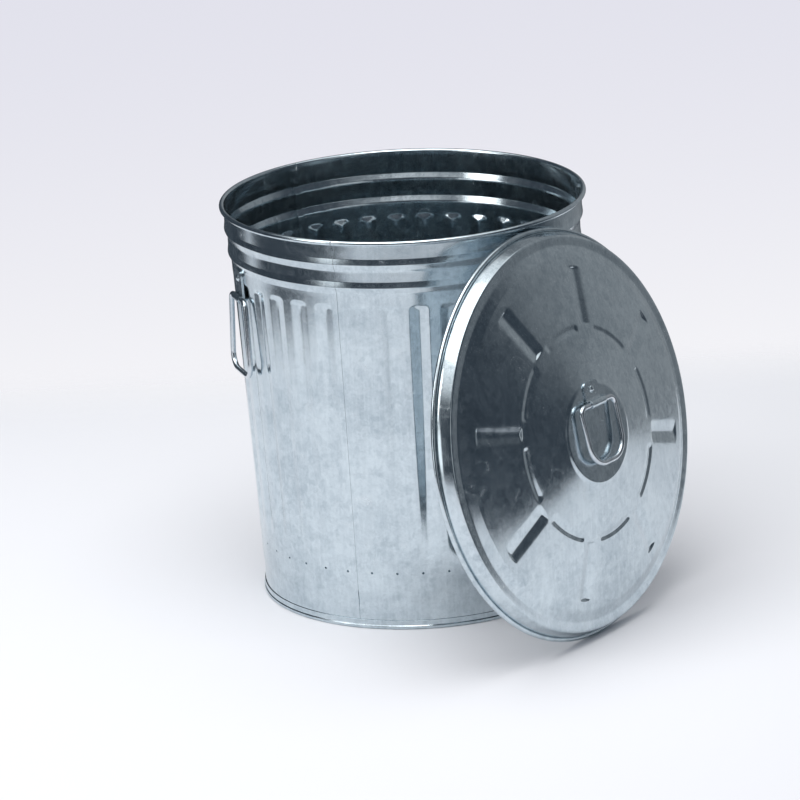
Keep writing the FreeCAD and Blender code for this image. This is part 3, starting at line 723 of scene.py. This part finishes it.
# the paper fades out at its edges, and its left edge runs outward behind the can
widened = sideways + away.largest(0.0)
cover = widened.ramp(studio["paperLeft"] - edge, studio["paperLeft"])
cover = cover * (1 - sideways.ramp(studio["paperRight"], studio["paperRight"] + edge))
cover = cover * away.ramp(studio["paperFront"] - edge, studio["paperFront"])
cover = cover * (1 - away.ramp(studio["paperBack"], studio["paperBack"] + edge))
matte = tree.add("ShaderNodeBsdfDiffuse", {}, {"Color": studio["paper"]})
clear = tree.add("ShaderNodeBsdfTransparent", {}, {})
sheetOfPaper = tree.add("ShaderNodeMixShader", {}, [cover, clear, matte])
tree.add("ShaderNodeOutputMaterial", {}, {"Surface": sheetOfPaper})
paper.materials.append(floorPaper)

world = bpy.data.worlds.new("studio")
bpy.context.scene.world = world
world.use_nodes = True
tree = NodeTree(world.node_tree)
direction = tree.add("ShaderNodeTexCoord", output=0)


def facing(azimuth, elevation):
    # cosine between the ray and a fixed direction; azimuth from the photographer, positive to their right
    turn = toCamera + math.radians(azimuth)
    rise = math.radians(elevation)
    aim = (math.cos(turn) * math.cos(rise), math.sin(turn) * math.cos(rise), math.sin(rise))
    return tree.add("ShaderNodeVectorMath", dict(operation="DOT_PRODUCT"), [direction, aim], output=1)


light = sum(facing(azimuth, rise).ramp(low, high) * strength for azimuth, rise, low, high, strength in boxes)
glow = tree.mixColour(light.smallest(1.0), studio["room"], studio["glow"])
lightPath = tree.add("ShaderNodeLightPath")  # what the camera sees is the backdrop, and all else sees the room
room = tree.add("ShaderNodeBackground", {}, {"Color": glow, "Strength": light.largest(1.0)})
height = tree.add("ShaderNodeSeparateXYZ", {}, [direction], output=2)
sky = tree.mixColour(height.ramp(*studio["skyBend"]), studio["skyLow"], studio["skyHigh"])
backdrop = tree.add("ShaderNodeBackground", {}, {"Color": sky, "Strength": 1.0})
mixed = tree.add("ShaderNodeMixShader", {}, [lightPath, room, backdrop])
tree.add("ShaderNodeOutputWorld", {}, {"Surface": mixed})


def softBox(name, azimuth, elevation, distance, width, height, power):
    lamp = bpy.data.lights.new(name, "AREA")
    lamp.shape = "RECTANGLE"
    lamp.size = width
    lamp.size_y = height
    lamp.energy = power
    box = bpy.data.objects.new(name, lamp)
    turn = toCamera + math.radians(azimuth)
    rise = math.radians(elevation)
    away = Vector((math.cos(turn) * math.cos(rise), math.sin(turn) * math.cos(rise), math.sin(rise)))
    box.location = away * distance + Vector((0, 0, studio["aimHeight"]))
    box.rotation_mode = "QUATERNION"
    box.rotation_quaternion = away.to_track_quat("Z", "Y")
    bpy.context.scene.collection.objects.link(box)


for lamp in lamps:
    softBox(*lamp)

pitch, yaw, roll = camera["pitch"], camera["yaw"], camera["roll"]
forward = Vector((math.sin(yaw) * math.cos(pitch), math.cos(yaw) * math.cos(pitch), -math.sin(pitch)))
right = Vector((math.cos(yaw), -math.sin(yaw), 0))
up = right.cross(forward)
rolledRight = right * math.cos(roll) + up * math.sin(roll)
rolledUp = up * math.cos(roll) - right * math.sin(roll)
turned = Matrix.Rotation(math.radians(camera["turn"]), 4, "Z")
lens = bpy.data.cameras.new("photographer")
picture, sensor = camera["picture"], camera["sensor"]
lens.lens = camera["focal"] / picture * sensor
lens.sensor_width = sensor
lens.shift_x = (picture / 2 - camera["centreX"]) / picture
lens.shift_y = (camera["centreY"] - picture / 2) / picture
lens.clip_end = 100
viewer = bpy.data.objects.new("photographer", lens)
bpy.context.scene.collection.objects.link(viewer)
spot = Vector((0, -camera["distance"], camera["height"]))
viewer.matrix_world = turned @ placing(spot, rolledRight, rolledUp, -forward)
bpy.context.scene.camera = viewer
bpy.context.scene.view_settings.view_transform = "Standard"
print("studio made")
